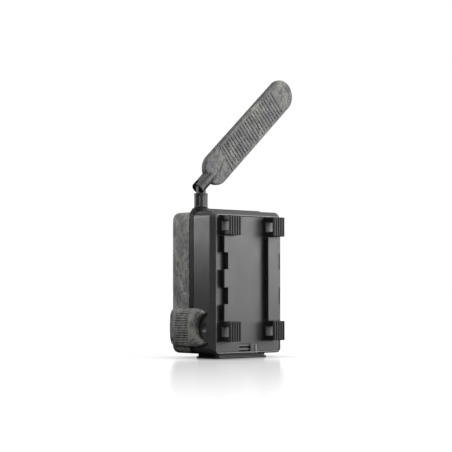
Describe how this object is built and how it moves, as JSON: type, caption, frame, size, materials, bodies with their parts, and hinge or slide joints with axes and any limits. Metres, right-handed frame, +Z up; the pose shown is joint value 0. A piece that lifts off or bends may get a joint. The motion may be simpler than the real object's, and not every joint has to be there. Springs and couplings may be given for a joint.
{
  "type": "trail camera",
  "caption": "Weatherproof trail camera that hinges open: strap loops and rails on its back, a side latch, a foot, and a paddle antenna that turns and folds.",
  "frame": {"origin": "centre of the foot's underside", "axes": "+Z up, lens looks along -Y, strap brackets face +Y, latch on the +X side, door hinge on the -X side"},
  "size_m": [0.1391, 0.0775, 0.2765],
  "materials": {
    "housing_dark": "fine textured moulding",
    "housing_camo": "bark camouflage film on textured moulding",
    "frame_black": "satin moulding",
    "gloss_black": "polished",
    "rubber": "matt",
    "key_rubber": "matt",
    "steel": "satin",
    "brass": "turned brass",
    "ir_filter": "polished dark filter",
    "lens_glass": "coated",
    "lens_white": "milky faceted",
    "circuit": "solder mask",
    "cell": "printed film sleeve, no lettering",
    "card": "satin, no lettering"
  },
  "bodies": {
    "rear_half": {"rear_shell": "housing_dark", "strap_loop_lower_latch_side": "frame_black", "strap_loop_lower_hinge_side": "frame_black", "strap_loop_upper_latch_side": "frame_black", "strap_loop_upper_hinge_side": "frame_black", "strap_rail_latch_side": "housing_dark", "strap_rail_hinge_side": "housing_dark", "foot": "frame_black", "tripod_insert": "brass", "battery_tray": "frame_black", "cell_1": "cell", "cell_2": "cell", "cell_3": "cell", "cell_4": "cell", "cell_5": "cell", "cell_6": "cell", "cell_7": "cell", "cell_8": "cell", "contacts_lower": "steel", "contacts_middle": "steel", "contacts_upper": "steel", "lock_track": "frame_black", "hinge_pin_lower": "steel", "hinge_pin_upper": "steel"},
    "lock": {"lock_slider": "housing_dark"},
    "front_half": {"mid_frame": "frame_black", "door_seal": "rubber", "front_cover": "housing_camo", "front_fascia": "frame_black", "ir_window": "ir_filter", "ir_led_board": "circuit", "lens_bezel": "gloss_black", "lens_barrel": "frame_black", "lens_glass": "lens_glass", "sensor_board": "circuit", "pir_lens": "lens_white", "pir_sensor": "steel", "status_light": "lens_white", "control_panel": "frame_black", "display": "gloss_black", "card_socket": "steel", "main_board": "circuit", "modem": "steel", "antenna_connector": "brass", "coax_lead": "rubber", "latch_pin": "steel"},
    "latch": {"latch_lever": "housing_camo"},
    "card": {"memory_card": "card"},
    "switch": {"power_switch": "frame_black"},
    "button_ok": {"key_ok": "key_rubber"},
    "button_up": {"key_up": "key_rubber"},
    "button_down": {"key_down": "key_rubber"},
    "button_left": {"key_left": "key_rubber"},
    "button_right": {"key_right": "key_rubber"},
    "antenna_base": {"antenna_swivel": "frame_black"},
    "antenna_arm": {"antenna_root": "frame_black", "antenna_pin": "steel", "antenna_blade_back": "housing_camo", "antenna_blade_front": "housing_camo", "antenna_radiator": "circuit"}
  },
  "joints": [
    {"name": "door_hinge", "type": "hinge", "parent": "rear_half", "child": "front_half", "pos_m": [-0.0494, -0.00295, 0.072], "axis": [0, 0, -1], "range_deg": [0, 110]},
    {"name": "latch_hinge", "type": "hinge", "parent": "front_half", "child": "latch", "pos_m": [0.0493, -0.03, 0.0295], "axis": [0, 0, -1], "range_deg": [0, 70]},
    {"name": "lock_slide", "type": "slide", "parent": "rear_half", "child": "lock", "axis": [1, 0, 0], "range_m": [0, 0.0125]},
    {"name": "antenna_turn", "type": "hinge", "parent": "front_half", "child": "antenna_base", "pos_m": [0.034, -0.00615, 0.1431], "axis": [0, 0, 1], "range_deg": [-180, 180]},
    {"name": "antenna_fold", "type": "hinge", "parent": "antenna_base", "child": "antenna_arm", "pos_m": [0.034, -0.00615, 0.1651], "axis": [0, -1, 0], "range_deg": [-47.7, 42.3]},
    {"name": "card_slide", "type": "slide", "parent": "front_half", "child": "card", "axis": [0, 0, 1], "range_m": [0, 0.03]},
    {"name": "switch_slide", "type": "slide", "parent": "front_half", "child": "switch", "axis": [1, 0, 0], "range_m": [0, 0.008]},
    {"name": "ok_press", "type": "slide", "parent": "front_half", "child": "button_ok", "axis": [0, -1, 0], "range_m": [0, 0.0007], "stiffness_N_per_m": 600, "springref_m": -0.0003},
    {"name": "up_press", "type": "slide", "parent": "front_half", "child": "button_up", "axis": [0, -1, 0], "range_m": [0, 0.0007], "stiffness_N_per_m": 600, "springref_m": -0.0003},
    {"name": "down_press", "type": "slide", "parent": "front_half", "child": "button_down", "axis": [0, -1, 0], "range_m": [0, 0.0007], "stiffness_N_per_m": 600, "springref_m": -0.0003},
    {"name": "left_press", "type": "slide", "parent": "front_half", "child": "button_left", "axis": [0, -1, 0], "range_m": [0, 0.0007], "stiffness_N_per_m": 600, "springref_m": -0.0003},
    {"name": "right_press", "type": "slide", "parent": "front_half", "child": "button_right", "axis": [0, -1, 0], "range_m": [0, 0.0007], "stiffness_N_per_m": 600, "springref_m": -0.0003}
  ]
}
